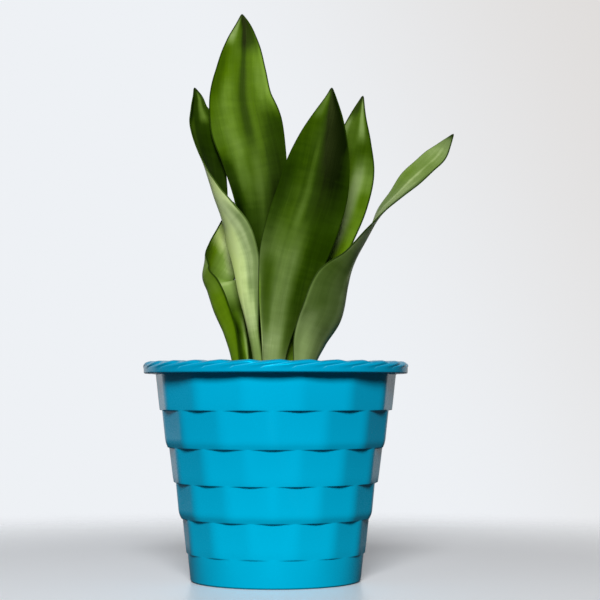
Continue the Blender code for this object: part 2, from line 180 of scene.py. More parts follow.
# Each station is x, y, z, half width, turn in degrees and cup. A turn of 0 points the inner, hollow
# face at -Y and 90 points it at +X. The cup is the depth of the hollow over the half width.
LEAVES = {
    "leaf_back_tall": (
        (-0.0090, 0.0225, 0.150, 0.0138, 4, 0.22),
        (-0.0090, 0.0218, 0.180, 0.0138, 4, 0.24),
        (-0.0088, 0.0196, 0.210, 0.0134, 4, 0.28),
        (-0.0092, 0.0160, 0.242, 0.0158, 4, 0.32),
        (-0.0120, 0.0146, 0.279, 0.0198, 5, 0.30),
        (-0.0165, 0.0152, 0.306, 0.0240, 6, 0.25),
        (-0.0226, 0.0160, 0.331, 0.0266, 6, 0.22),
        (-0.0264, 0.0168, 0.350, 0.0234, 6, 0.20),
        (-0.0262, 0.0178, 0.371, 0.0187, 6, 0.20),
        (-0.0252, 0.0188, 0.392, 0.0124, 6, 0.20),
        (-0.0249, 0.0196, 0.406, 0.0056, 6, 0.20),
        (-0.0256, 0.0200, 0.414, 0.0007, 6, 0.20),
    ),
    "leaf_left_twisted": (
        (-0.0127, -0.0010, 0.150, 0.0046, 141, 0.20),
        (-0.0167, -0.0020, 0.179, 0.0053, 141, 0.18),
        (-0.0202, -0.0040, 0.205, 0.0098, 141, 0.16),
        (-0.0237, -0.0060, 0.233, 0.0144, 136, 0.16),
        (-0.0303, -0.0060, 0.251, 0.0176, 124, 0.20),
        (-0.0362, -0.0045, 0.262, 0.0180, 109, 0.26),
        (-0.0410, -0.0015, 0.273, 0.0180, 91, 0.32),
        (-0.0450, 0.0030, 0.287, 0.0172, 74, 0.30),
        (-0.0481, 0.0072, 0.302, 0.0172, 62, 0.22),
        (-0.0515, 0.0100, 0.318, 0.0182, 54, 0.24),
        (-0.0548, 0.0120, 0.334, 0.0134, 44, 0.24),
        (-0.0571, 0.0128, 0.343, 0.0078, 41, 0.22),
        (-0.0579, 0.0134, 0.350, 0.0050, 40, 0.20),
        (-0.0602, 0.0140, 0.358, 0.0007, 38, 0.20),
    ),
    "leaf_front_centre": (
        (-0.0020, -0.0100, 0.150, 0.0080, 176, 0.42),
        (-0.0005, -0.0130, 0.168, 0.0100, 176, 0.40),
        (0.0042, -0.0200, 0.199, 0.0172, 175, 0.34),
        (0.0124, -0.0260, 0.234, 0.0246, 174, 0.28),
        (0.0196, -0.0280, 0.256, 0.0262, 173, 0.24),
        (0.0254, -0.0290, 0.274, 0.0256, 172, 0.22),
        (0.0288, -0.0300, 0.290, 0.0239, 172, 0.20),
        (0.0336, -0.0305, 0.313, 0.0180, 172, 0.20),
        (0.0375, -0.0305, 0.332, 0.0100, 172, 0.20),
        (0.0393, -0.0300, 0.343, 0.0042, 172, 0.20),
        (0.0400, -0.0298, 0.350, 0.0007, 172, 0.20),
    ),
    "leaf_back_right": (
        (0.0108, 0.0040, 0.150, 0.0072, -20, 0.45),
        (0.0165, 0.0040, 0.178, 0.0094, -20, 0.42),
        (0.0238, 0.0040, 0.200, 0.0118, -20, 0.38),
        (0.0337, 0.0040, 0.229, 0.0160, -18, 0.32),
        (0.0407, 0.0045, 0.250, 0.0188, -16, 0.28),
        (0.0478, 0.0055, 0.272, 0.0203, -14, 0.25),
        (0.0534, 0.0065, 0.296, 0.0192, -12, 0.22),
        (0.0568, 0.0075, 0.316, 0.0134, -12, 0.20),
        (0.0602, 0.0085, 0.337, 0.0058, -12, 0.20),
        (0.0635, 0.0090, 0.351, 0.0007, -12, 0.20),
    ),
    "leaf_right_reaching": (
        (0.0212, -0.0100, 0.150, 0.0085, -152, 0.45),
        (0.0262, -0.0140, 0.170, 0.0140, -148, 0.42),
        (0.0353, -0.0200, 0.189, 0.0188, -141, 0.36),
        (0.0432, -0.0245, 0.214, 0.0180, -130, 0.28),
        (0.0540, -0.0265, 0.230, 0.0152, -107, 0.14),
        (0.0660, -0.0275, 0.248, 0.0168, -94, 0.05),
        (0.0764, -0.0280, 0.264, 0.0180, -80, 0.03),
        (0.0860, -0.0282, 0.274, 0.0186, -74, 0.04),
        (0.0962, -0.0286, 0.285, 0.0192, -66, 0.05),
        (0.1060, -0.0290, 0.294, 0.0176, -64, 0.06),
        (0.1147, -0.0290, 0.302, 0.0142, -60, 0.08),
        (0.1210, -0.0290, 0.310, 0.0076, -61, 0.08),
        (0.1262, -0.0290, 0.317, 0.0007, -62, 0.08),
    ),
    "leaf_left_channelled": (
        (-0.0266, 0.0030, 0.150, 0.0080, 66, 0.94),
        (-0.0322, 0.0060, 0.177, 0.0119, 75, 1.00),
        (-0.0394, 0.0110, 0.196, 0.0152, 73, 1.05),
        (-0.0440, 0.0150, 0.210, 0.0173, 68, 0.92),
        (-0.0474, 0.0185, 0.219, 0.0193, 63, 0.70),
        (-0.0450, 0.0210, 0.228, 0.0178, 46, 0.50),
        (-0.0402, 0.0235, 0.239, 0.0156, 39, 0.40),
        (-0.0360, 0.0252, 0.251, 0.0118, 36, 0.32),
        (-0.0336, 0.0262, 0.262, 0.0074, 32, 0.28),
        (-0.0318, 0.0268, 0.275, 0.0007, 28, 0.22),
    ),
}

# How each face of a leaf is coloured: its own bands, and also painted shade, painted highlights and
# painted reflection. A level is (part of the length, tone, wax), with a tone from -1, nearly black, to
# 1, pale, and wax from 0, fresh green, to 1, grey, a grey that also paints in reflection. A stroke is
# (from part, to part, from place, to place, width, tone, wax), where a place and a width across the
# leaf run from -1 to 1. Strokes are added to the levels. The margin is the tone of the thin line along
# both edges.
MARKS_AND_PAINTED_LIGHT = {
    ("leaf_back_tall", "inner"): {
        # The low tones along the lower part are painted shade between the leaves in front
        "levels": ((0.0, -0.6, 0.2), (0.38, -0.75, 0.1), (0.46, -0.58, 0.1), (0.55, -0.28, 0.2),
                   (0.65, -0.13, 0.1), (0.86, -0.10, 0.0), (0.94, 0.02, 0.1), (1.0, -0.3, 0.0)),
        "strokes": (
            (0.44, 0.90, -0.44, -0.46, 0.26, 0.27, 0.2),
            (0.58, 1.04, 0.02, 0.12, 0.14, -0.44, -0.1),
            (0.70, 0.96, 0.80, 0.72, 0.28, 0.28, 0.2),
            (0.66, 0.96, 0.98, 0.98, 0.12, 0.28, 0.1),
            (0.34, 0.66, 0.02, 0.06, 0.16, 0.14, 0.2),
            # Painted shade on the lower right, beside the front leaf
            (0.34, 0.78, 0.62, 0.88, 0.40, -0.50, -0.1),
            (0.34, 0.66, -0.95, -0.98, 0.30, -0.45, -0.1),
            # Painted shade on the tip's right half
            (0.88, 1.10, 0.42, 0.42, 0.60, -0.80, -0.1),
            # Painted highlight left of the tip
            (0.90, 1.06, -0.80, -0.80, 0.30, 0.50, 0.7),
            (0.95, 1.12, -0.10, -0.10, 0.36, -0.40, -0.1),
            (0.76, 0.93, -0.92, -0.92, 0.24, -0.20, -0.1),
        ),
        "margin": -0.7,
    },
    ("leaf_back_tall", "outer"): {
        "levels": ((0.0, 0.1, 0.8), (0.4, 0.0, 0.6), (0.7, -0.1, 0.3), (1.0, -0.3, 0.3)),
        "strokes": ((0.2, 0.95, 0.0, 0.0, 0.12, -0.2, 0.1), (0.4, 0.9, -0.5, -0.4, 0.2, 0.2, 0.2),
                    (0.4, 0.9, 0.5, 0.4, 0.2, 0.2, 0.2)),
        "margin": -0.7,
    },
    ("leaf_left_twisted", "inner"): {
        "levels": ((0.0, -0.3, 0.4), (0.5, -0.5, 0.2), (0.75, -0.65, 0.2), (0.88, -0.55, 0.1),
                   (1.0, -0.45, 0.2)),
        "strokes": (
            (0.72, 0.92, -0.85, -0.80, 0.22, 0.32, 0.0),
            (0.87, 1.00, 0.15, 0.30, 0.30, 0.65, 0.2),
            (0.86, 1.04, -1.00, -1.00, 0.24, -0.50, 0.0),
        ),
        "margin": -0.7,
    },
    ("leaf_left_twisted", "outer"): {
        # The tones above 1, on the twisted part, are partly painted light where that part turns from the
        # lamps
        "levels": ((0.0, 0.3, 0.8), (0.12, 0.4, 0.8), (0.2, 0.65, 0.8), (0.3, 0.85, 0.6),
                   (0.44, 0.95, 0.5), (0.54, 1.2, 0.5), (0.8, 1.4, 0.5), (0.9, 0.6, 0.4),
                   (1.0, 0.0, 0.3)),
        "strokes": (
            (0.16, 0.62, -1.00, -0.92, 0.24, -0.55, 0.3),
            (0.24, 0.66, -0.58, -0.50, 0.34, -0.35, 0.5),
            (0.10, 0.90, 0.82, 0.70, 0.44, 0.60, -0.3),
        ),
        "margin": -0.1,
    },
    ("leaf_front_centre", "inner"): {
        "levels": ((0.0, 0.2, 0.9), (0.3, 0.0, 0.6), (0.6, -0.2, 0.3), (1.0, -0.4, 0.2)),
        "strokes": ((0.2, 0.95, 0.0, 0.0, 0.12, -0.2, 0.0), (0.4, 0.9, -0.5, -0.4, 0.2, 0.2, 0.1),
                    (0.4, 0.9, 0.5, 0.4, 0.2, 0.2, 0.1)),
        "margin": -0.7,
    },
    ("leaf_front_centre", "outer"): {
        "levels": ((0.0, 0.42, 1.0), (0.16, 0.50, 1.0), (0.22, 0.28, 0.9), (0.28, 0.14, 0.8),
                   (0.44, 0.06, 0.65), (0.53, -0.2, 0.3), (0.62, -0.42, 0.1), (0.8, -0.48, 0.0),
                   (0.92, -0.38, 0.0), (1.0, -0.2, 0.1)),
        "strokes": (
            # The first six strokes are painted shade on the right half, from the base up to the tip
            (0.04, 0.60, -0.76, -0.74, 0.40, -0.58, -0.6),
            (0.22, 0.58, -0.40, -0.34, 0.18, -0.20, -0.2),
            (0.48, 1.05, -0.50, -0.48, 0.44, -0.36, -0.1),
            (0.58, 1.14, -0.62, -0.54, 0.58, -0.20, 0.0),
            (0.76, 1.14, -0.62, -0.54, 0.58, -0.34, 0.0),
            (0.86, 1.12, -0.28, -0.16, 0.32, -0.40, 0.0),
            (0.48, 0.88, 0.13, 0.06, 0.09, 0.24, 0.2),
            (0.14, 0.46, 0.60, 0.66, 0.24, -0.36, -0.5),
            (0.08, 0.38, 0.98, 0.98, 0.09, 0.45, -0.5),
            (0.38, 0.80, 0.84, 0.88, 0.24, -0.26, 0.0),
            # Painted highlight left of the tip
            (0.88, 1.04, 0.62, 0.58, 0.30, 0.30, 0.4),
        ),
        "margin": -0.65,
    },
    ("leaf_back_right", "inner"): {
        "levels": ((0.0, 0.1, 0.2), (0.45, 0.26, 0.0), (0.6, 0.1, 0.1), (0.72, -0.08, 0.1),
                   (0.8, -0.42, 0.0), (0.88, -0.33, 0.1), (0.93, -0.2, 0.2), (1.0, -0.45, 0.3)),
        "strokes": (
            (0.42, 0.82, 0.20, 0.42, 0.24, 0.42, 0.9),
            (0.66, 0.82, 0.75, 0.75, 0.28, 0.22, 0.2),
            (0.82, 1.08, 0.38, 0.80, 0.30, 0.70, 0.7),
            (0.80, 0.94, -0.85, -0.80, 0.26, 0.40, 0.8),
            (0.90, 1.10, -0.60, -0.40, 0.50, -0.45, -0.2),
        ),
        "margin": -0.7,
    },
    ("leaf_back_right", "outer"): {
        "levels": ((0.0, 0.2, 0.9), (0.4, 0.05, 0.6), (0.8, -0.1, 0.3), (1.0, -0.3, 0.3)),
        "strokes": ((0.2, 0.95, 0.0, 0.0, 0.12, -0.2, 0.1), (0.4, 0.9, 0.5, 0.4, 0.25, 0.2, 0.2)),
        "margin": -0.7,
    },
    ("leaf_right_reaching", "inner"): {
        "levels": ((0.0, 0.3, 0.9), (0.6, 0.6, 0.9), (0.8, 0.52, 0.7), (0.86, 0.42, 0.6),
                   (0.93, 0.52, 0.8), (0.98, 0.2, 0.9), (1.0, -0.6, 0.8)),
        "strokes": (
            (0.64, 0.86, 0.95, 0.95, 0.14, -0.45, 0.0),
            (0.66, 0.96, 0.15, 0.15, 0.12, 0.14, 0.1),
            (0.62, 0.86, -0.55, -0.50, 0.50, -0.20, -0.4),
        ),
        "margin": -0.6,
    },
    ("leaf_right_reaching", "outer"): {
        # The pale rise from a half to seven tenths of the length is partly painted light where the leaf
        # turns from the lamps
        "levels": ((0.0, 0.38, 1.0), (0.14, 0.35, 1.0), (0.21, 0.15, 1.0), (0.28, -0.08, 0.9),
                   (0.36, -0.15, 0.8), (0.42, 0.0, 0.7), (0.48, 0.5, 0.7), (0.56, 1.0, 0.6),
                   (0.7, 0.9, 0.6), (1.0, 0.3, 0.6)),
        "strokes": (
            (0.10, 0.60, -0.62, -0.72, 0.34, 0.42, 0.1),
            (0.36, 0.66, -0.70, -0.60, 0.45, 0.55, 0.1),
            (0.04, 0.30, 0.42, 0.60, 0.20, 0.18, 0.1),
            (0.02, 0.26, -0.18, -0.12, 0.20, -0.20, 0.0),
            (0.26, 0.46, 0.50, 0.75, 0.40, -0.14, -0.2),
            (0.02, 0.60, -0.98, -0.98, 0.11, 0.55, 0.0),
            (0.10, 0.56, 0.98, 0.98, 0.06, 0.25, 0.0),
        ),
        "margin": -0.5,
    },
    ("leaf_left_channelled", "inner"): {
        # The tones above 1 on the upper part are partly painted light where the face turns from the lamps
        "levels": ((0.0, -0.15, 0.1), (0.2, -0.1, 0.1), (0.28, -0.45, 0.1), (0.41, -0.4, 0.2),
                   (0.49, 0.22, 0.6), (0.56, 0.6, 0.7), (0.62, 0.2, 0.3), (0.71, 0.45, 0.4),
                   (0.79, 1.1, 0.6), (1.0, 1.9, 0.6)),
        "strokes": (
            (0.54, 0.94, -0.80, -0.60, 0.60, -0.20, -0.7),
            (0.58, 0.90, 0.85, 0.60, 0.34, 0.25, 0.3),
            (-0.05, 0.42, 0.98, 0.98, 0.10, 0.70, 0.6),
            (0.05, 0.38, 0.62, 0.68, 0.18, -0.40, 0.0),
            (0.12, 0.44, 0.84, 0.84, 0.08, 0.25, 0.0),
        ),
        "margin": -0.6,
    },
    ("leaf_left_channelled", "outer"): {
        "levels": ((0.0, 0.28, 0.0), (0.2, 0.25, 0.0), (0.45, 0.33, 0.0), (0.62, 0.5, 0.2),
                   (1.0, 0.5, 0.4)),
        "strokes": (
            (0.06, 0.60, -0.98, -0.98, 0.10, -0.12, 0.0),
            (0.10, 0.60, -0.50, -0.50, 0.15, 0.08, 0.0),
        ),
        "margin": -0.5,
    },
}

# Leaf skin: the noises that vary it, each with its scale across and along the leaf, detail, roughness,
# distortion and part in the tone, and the colours of fresh skin and of waxy skin with painted
# reflection, from dark to pale
LEAF_NOISES = {
    "streaks": (900.0, 14.0, 4.0, 0.6, 0.0, 0.18),
    "broad_streaks": (260.0, 7.0, 2.0, 0.5, 0.0, 0.22),
    "cross_bands": (38.0, 210.0, 3.0, 0.55, 0.4, 0.20),
    "clouds": (70.0, 45.0, 3.0, 0.5, 0.0, 0.26),
}
FRESH_COLOURS = ((5, 16, 0), (36, 60, 1), (72, 103, 4), (112, 149, 20), (220, 244, 146))
WAX_AND_REFLECTION_COLOURS = ((12, 22, 5), (48, 66, 24), (88, 108, 58), (130, 152, 94), (216, 236, 172))
LEAF_ROUGHNESS = (0.36, 0.50)
LEAF_BUMP = 0.00012
LEAF_SHEEN = 0.05
LEAF_SHEEN_TINT = (0.75, 1.0, 0.25)

# Plastic: the two colours it drifts between, and those of the flow lines, the painted light on the foot,
# the painted shade on the rim and the painted highlights on the ridges' edge lines. A fade runs along
# the flow's noise or the height: its start, its end, and the part of the colour before and after it.
PLASTIC_DARK = (0, 164, 208)
PLASTIC_LIGHT = (0, 173, 217)
FLOW_COLOUR = (40, 184, 222)
FLOW_FADE = (0.62, 0.78, 0.0, 0.06)
FOOT_PAINTED_LIGHT_COLOUR = (0, 190, 234)
FOOT_PAINTED_LIGHT_FADE = (0.02, 0.13, 0.5, 0.0)
RIM_PAINTED_SHADE_COLOUR = (0, 148, 190)
RIM_PAINTED_SHADE_FADE = (0.1472, 0.1480, 0.0, 0.75)
PAINTED_HIGHLIGHT_COLOUR = (110, 220, 252)
PLASTIC_ROUGHNESS = (0.22, 0.30)
PLASTIC_BUMP = 0.00004
PLASTIC_SHEEN = 0.4
PLASTIC_SHEEN_TINT = (0.0, 0.75, 1.0)

# Floor: its two colours, and the distances at which it starts to fade and has faded into the room
FLOOR_DARK = (238, 243, 250)
FLOOR_LIGHT = (244, 248, 254)
FLOOR_FADE = (0.25, 0.75)
FLOOR_ROUGHNESS = 0.32

# Lamps: name, place, width, power and linear colour. They all face one point.
LAMP_TARGET = (0.0, 0.0, 0.18)
LAMPS = (
    ("key", (-0.06, -2.30, 1.32), 0.75, 82.0, (1.0, 0.99, 0.97)),
    ("fill", (-2.0, -1.4, 1.0), 1.2, 1.0, (0.95, 0.98, 1.0)),
)

# Room: the colour of its wall and the warmer, darker one towards the upper right, with the start and
# end of the fade between them along X plus part of Z. Then how much light comes from the wall behind
# the object and from all other sides, and where that wall's brightness fades: the axis of a direction,
# the fade's start and end along it, and the brightness before and after.
ROOM_COLOUR = (238, 241, 245)
ROOM_CORNER_COLOUR = (223, 220, 218)
ROOM_CORNER = (0.03, 0.33)
ROOM_CORNER_RISE = 0.5
ROOM_BEHIND = 0.85
ROOM_FAINT = 0.07
ROOM_EDGES = (("X", 0.45, 0.65, 1.0, 0.0), ("Y", 0.45, 0.7, 0.0, 1.0),
              ("Z", -0.13, -0.09, 0.0, 1.0), ("Z", 0.3, 0.7, 1.0, 0.0))


# Materials


def srgb(*values):
    """Return a colour given as 0 to 255 screen values as Blender's linear values."""
    return tuple(
        value / 255.0 / 12.92 if value <= 10.31475 else ((value / 255.0 + 0.055) / 1.055) ** 2.4
        for value in values
    )


class Nodes:
    """A small helper that adds nodes to one material or world and joins them."""

    def __init__(self, name, world=False):
        self.owner = (bpy.data.worlds if world else bpy.data.materials).new(name)
        self.owner.use_nodes = True
        self.tree = self.owner.node_tree
        self.shader = self.tree.nodes["Background" if world else "Principled BSDF"]

    def set_input(self, node, key, value):
        """Join a socket to an input, or set the input's own value."""
        if isinstance(value, bpy.types.NodeSocket):
            self.tree.links.new(value, node.inputs[key])
        else:
            node.inputs[key].default_value = value

    def add(self, kind, inputs=None, **settings):
        """Add one node with its settings and inputs."""
        node = self.tree.nodes.new(kind)
        for key, value in settings.items():
            setattr(node, key, value)
        for key, value in (inputs or {}).items():
            self.set_input(node, key, value)
        return node

    def attribute(self, name, output="Fac"):
        """Return one of the mesh's own attributes."""
        return self.add("ShaderNodeAttribute", attribute_name=name).outputs[output]

    def position(self, scale=(1.0, 1.0, 1.0), source=None):
        """Return the object's coordinates, or another vector, times a scale on each axis."""
        if source is None:
            source = self.add("ShaderNodeTexCoord").outputs["Object"]
        return self.add("ShaderNodeMapping", {"Vector": source, "Scale": scale}).outputs["Vector"]

    def noise(self, vector, scale, detail, roughness=0.5, distortion=0.0):
        """Return a noise value from 0 to 1."""
        inputs = {"Vector": vector, "Scale": scale, "Detail": detail, "Roughness": roughness,
                  "Distortion": distortion}
        return self.add("ShaderNodeTexNoise", inputs).outputs["Fac"]

    def math(self, operation, first, second=0.0, third=0.0, clamp=False):
        """Return the result of one operation on up to three values."""
        node = self.add("ShaderNodeMath", operation=operation, use_clamp=clamp)
        for index, value in enumerate((first, second, third)):
            self.set_input(node, index, value)
        return node.outputs["Value"]

    def fit(self, value, low, high, out_low=0.0, out_high=1.0):
        """Return a value fitted smoothly from one range to another and held inside it."""
        inputs = {"Value": value, "From Min": low, "From Max": high, "To Min": out_low, "To Max": out_high}
        return self.add("ShaderNodeMapRange", inputs, interpolation_type="SMOOTHSTEP").outputs["Result"]

    def mix(self, factor, first, second):
        """Return a mix of two colours, each a socket or a screen colour."""
        node = self.add("ShaderNodeMix", data_type="RGBA")
        for index, value in ((0, factor), (6, first), (7, second)):
            if isinstance(value, tuple):
                value = (*srgb(*value), 1.0)
            self.set_input(node, index, value)
        return node.outputs[2]

    def ramp(self, factor, colours):
        """Return a colour from a ramp of evenly spaced screen colours."""
        node = self.add("ShaderNodeValToRGB", {"Fac": factor})
        elements = node.color_ramp.elements
        while len(elements) < len(colours):
            elements.new(0.5)
        for index, colour in enumerate(colours):
            elements[index].position = index / (len(colours) - 1)
            elements[index].color = (*srgb(*colour), 1.0)
        return node.outputs["Color"]

    def bump(self, height, distance, strength):
        """Bend the shader's normal by a height."""
        inputs = {"Height": height, "Distance": distance, "Strength": strength}
        self.set_input(self.shader, "Normal", self.add("ShaderNodeBump", inputs).outputs["Normal"])

    def finish(self, colour, roughness, sheen=0.5, tint=(1.0, 1.0, 1.0)):
        """Set the shader's main inputs and return the material."""
        for key, value in (("Base Color", colour), ("Roughness", roughness),
                           ("Specular IOR Level", sheen), ("Specular Tint", (*tint, 1.0))):
            self.set_input(self.shader, key, value)
        return self.owner


def leaf_material(name):
    """Waxy leaf skin: its tone and wax come with the mesh, and fine streaks and cross bands from noise.

    The tone carries painted shade and painted highlights, and the wax carries painted reflection.
    """
    nodes = Nodes(name)
    flat = nodes.attribute("flat", "Vector")
    tone = nodes.attribute("tone")
    noises = {}
    for kind, (across, along, detail, roughness, distortion, amount) in LEAF_NOISES.items():
        place = nodes.position((across, along, 1.0), flat)
        noises[kind] = nodes.noise(place, 1.0, detail, roughness, distortion)
        tone = nodes.math("MULTIPLY_ADD", nodes.math("SUBTRACT", noises[kind], 0.5), amount, tone)
    tone = nodes.math("MULTIPLY_ADD", tone, 0.5, 0.5, clamp=True)
    streaks, clouds = noises["streaks"], noises["clouds"]
    # The wax greys the green, also as painted reflection of the room
    wax_and_reflection = nodes.math("SUBTRACT", clouds, 0.5)
    wax_and_reflection = nodes.math("MULTIPLY_ADD", wax_and_reflection, 0.5, nodes.attribute("wax_and_reflection"), clamp=True)
    colour = nodes.mix(wax_and_reflection, nodes.ramp(tone, FRESH_COLOURS), nodes.ramp(tone, WAX_AND_REFLECTION_COLOURS))
    relief = nodes.math("ADD", streaks, nodes.math("MULTIPLY", noises["cross_bands"], 0.4))
    nodes.bump(relief, LEAF_BUMP, 0.6)
    roughness = nodes.fit(nodes.math("ADD", streaks, clouds), 0.6, 1.4, *LEAF_ROUGHNESS)
    return nodes.finish(colour, roughness, LEAF_SHEEN, LEAF_SHEEN_TINT)


def plastic_material():
    """Moulded blue plastic with a faint grain and a slow colour drift.

    It is lighter towards its foot with painted light from the floor below, darker on the rim with
    painted shade, and lightest on the ridges' edge lines with painted highlights.
    """
    nodes = Nodes("blue_plastic")
    place = nodes.position()
    drift = nodes.noise(place, 14.0, 2.0)
    grain = nodes.noise(place, 1400.0, 2.0)
    flow = nodes.noise(nodes.position((40.0, 40.0, 9.0)), 1.0, 3.0, 0.5, 0.6)
    height = nodes.add("ShaderNodeSeparateXYZ", {0: place}).outputs["Z"]
    colour = nodes.mix(drift, PLASTIC_DARK, PLASTIC_LIGHT)
    colour = nodes.mix(nodes.fit(flow, *FLOW_FADE), colour, FLOW_COLOUR)
    # Painted light towards the foot, from the floor below
    colour = nodes.mix(nodes.fit(height, *FOOT_PAINTED_LIGHT_FADE), colour, FOOT_PAINTED_LIGHT_COLOUR)
    # Painted shade on the rim's curved band
    colour = nodes.mix(nodes.fit(height, *RIM_PAINTED_SHADE_FADE), colour, RIM_PAINTED_SHADE_COLOUR)
    # Painted highlight along the ridges' edge lines
    colour = nodes.mix(nodes.attribute("painted_highlight"), colour, PAINTED_HIGHLIGHT_COLOUR)
    nodes.bump(nodes.math("ADD", grain, nodes.math("MULTIPLY", flow, 2.0)), PLASTIC_BUMP, 0.5)
    roughness = nodes.fit(nodes.math("ADD", drift, grain), 0.7, 1.3, *PLASTIC_ROUGHNESS)
    return nodes.finish(colour, roughness, PLASTIC_SHEEN, PLASTIC_SHEEN_TINT)


def soil_material(name, dark, light, scale):
    """Damp soil, bark or grit: two screen colours mixed at two sizes, with a rough surface."""
    nodes = Nodes(name)
    place = nodes.position()
    lumps = nodes.noise(place, scale, 4.0, 0.6)
    fibres = nodes.noise(nodes.position((scale * 2.0, scale * 0.5, scale)), 1.0, 4.0, 0.65, 0.8)
    both = nodes.math("ADD", lumps, fibres)
    colour = nodes.mix(nodes.fit(both, 0.75, 1.3), dark, light)
    nodes.bump(both, SOIL_BUMP, 0.8)
    return nodes.finish(colour, nodes.fit(lumps, 0.3, 0.7, *SOIL_ROUGHNESS), 0.3)


def floor_material():
    """Pale smooth floor that fades out with the distance from the object."""
    nodes = Nodes("pale_floor")
    clouds = nodes.noise(nodes.position(), 3.0, 2.0)
    colour = nodes.mix(clouds, FLOOR_DARK, FLOOR_LIGHT)
    away = nodes.add("ShaderNodeVectorMath", {0: nodes.position()}, operation="LENGTH").outputs["Value"]
    nodes.set_input(nodes.shader, "Alpha", nodes.fit(away, *FLOOR_FADE, 1.0, 0.0))
    return nodes.finish(colour, FLOOR_ROUGHNESS)


# Meshes


def add_piece(name, vertices, faces, material, body="root"):
    """Make a smooth mesh object and let it ride on a body."""
    mesh = bpy.data.meshes.new(name)
    mesh.from_pydata([tuple(vertex) for vertex in vertices], [], faces)
    mesh.materials.append(material)
    mesh.shade_smooth()
    piece = bpy.data.objects.new(name, mesh)
    bpy.context.collection.objects.link(piece)
    if body:
        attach(piece, body)
    return piece


def write_attribute(mesh, name, values):
    """Store one number or one vector for each vertex."""
    values = np.asarray(values, dtype=np.float32)
    kind, key = ("FLOAT", "value") if values.ndim == 1 else ("FLOAT_VECTOR", "vector")
    mesh.attributes.new(name, kind, "POINT").data.foreach_set(key, values.ravel())


def around(angle, radius, *height):
    """Return the point at an angle round the pot's axis, counted from the front."""
    return (radius * math.sin(angle), -radius * math.cos(angle), *height)


def ring_faces(first, second, count, shift=0, flip=False):
    """Return the faces between two rings that start at two vertex numbers."""
    faces = [
        (first + index, first + (index + 1) % count,
         second + (index + 1 + shift) % count, second + (index + shift) % count)
        for index in range(count)
    ]
    return [face[::-1] for face in faces] if flip else faces


def add_cap(vertices, faces, start, count, height, flip=False):
    """Close a ring with triangles round a new point on the axis."""
    centre = len(vertices)
    vertices.append((0.0, 0.0, height))
    for index in range(count):
        face = (start + index, start + (index + 1) % count, centre)
        faces.append(face[::-1] if flip else face)


# Pot


def facet_angles():
    """Return the angles at which the wall is cut, closer together at the facets' corners."""
    angles = []
    for half in range(2 * SIDES):
        for step in range(HALF_FACET_STEPS):
            part = step / HALF_FACET_STEPS
            eased = 0.5 - 0.5 * math.cos(math.pi * part)
            place = EVEN_STEPS_PART * part + (1.0 - EVEN_STEPS_PART) * eased
            angles.append(FACET_TURN + (half + place) * FACET / 2.0)
    return np.array(angles)


def facet_radius(angles, corner_radius, turn):
    """Return the radius of the faceted outline, with its corners rounded, at some angles."""
    beta = FACET / 2.0
    lean = (angles - turn + beta) % FACET - beta
    reach = CORNER_CUT * math.cos(beta)
    radius = np.full(len(angles), corner_radius)
    for _ in range(CORNER_PASSES):
        across = np.abs(radius * np.sin(lean))
        curved = CORNER_CUT * math.sin(beta) * (1.0 + (across / reach) ** 2) / 2.0
        drop = np.where(across < reach, curved, across * math.tan(beta))
        radius = (corner_radius - drop) / np.cos(lean)
    return radius


def part_way(here, there, reach):
    """Return points a distance from one ring towards another, but never beyond a part of the way."""
    gap = there - here
    length = np.linalg.norm(gap, axis=1)
    return here + gap * np.minimum(reach / length, LONGEST_ROUND_PART)[:, None]


def round_profile(corners, rounds):
    """Return the rings of a wall from its corner rings, with the corners rounded off."""
    rings = [corners[0]]
    for before, here, after, size in zip(corners, corners[1:], corners[2:], rounds[1:]):
        start = part_way(here, before, size)
        end = part_way(here, after, size)
        for part in np.linspace(0.0, 1.0, ROUND_STEPS + 1):
            rings.append((1 - part) ** 2 * start + 2 * part * (1 - part) * here + part**2 * end)
    rings.append(corners[-1])
    return rings


def wall_radius(height):
    """Return the radius of the pot's inside at a height."""
    slope = (RIM_INNER_RADIUS - FLOOR_RADIUS) / (WALL_TOP - FLOOR_TOP)
    return FLOOR_RADIUS + slope * (height - FLOOR_TOP)


def wall_rings(angles):
    """Return the rings of radius and height from the rim's underside down to the middle of the foot."""
    corner_drop = CORNER_CUT * math.sin(FACET / 2.0) / 2.0
    next_radii = [tier[1] - corner_drop for tier in TIERS[1:]] + [BASE_TOP_RADIUS]
    corners = []
    rounds = []
    for number, (top, top_radius, bottom, bottom_radius) in enumerate(TIERS):
        turn = FACET_TURN + (FACET / 2.0 if number % 2 == 0 else 0.0)
        curl = max(bottom_radius * math.cos(FACET / 2.0) - next_radii[number], 0.0)
        bend_radius = bottom_radius + (top_radius - bottom_radius) * TIER_CURL / (top - bottom)
        for height, radius, inset, size in (
            (top, top_radius, 0.0, SMALL_ROUND),
            (bottom + TIER_CURL, bend_radius, 0.0, TIER_CURL_ROUND),
            (bottom, bottom_radius, curl, TIER_EDGE_ROUND),
        ):
            outline = facet_radius(angles, radius, turn) - inset
            corners.append(np.stack((outline, np.full(len(angles), height)), axis=1))
            rounds.append(size)
    round_part = (
        (BASE_TOP_RADIUS, BASE_TOP),
        (BASE_RADIUS, BASE_ROUNDING),
        (BASE_RADIUS - BASE_ROUNDING, 0.0),
        (FOOT_INNER_RADIUS, 0.0),
        (FOOT_INNER_RADIUS - RECESS_SLOPE, RECESS_DEPTH),
        (BOSS_RADIUS + RECESS_SLOPE, RECESS_DEPTH),
        (BOSS_RADIUS, 0.0),
    )
    for radius, height in round_part:
        corners.append(np.tile((radius, height), (len(angles), 1)))
        rounds.append(SMALL_ROUND)
    return round_profile(corners, rounds)


def ridge_rise(step):
    """Return how high a ridge stands at a part of its width: a slow rise, a round crest, a sharp drop."""
    if step < RIDGE_CREST:
        climb = step / RIDGE_CREST
        return math.sin(climb * math.pi / 2.0) * RIDGE_ROUNDNESS + climb * (1.0 - RIDGE_ROUNDNESS)
    return 0.5 + 0.5 * math.cos((step - RIDGE_CREST) / (1.0 - RIDGE_CREST) * math.pi)


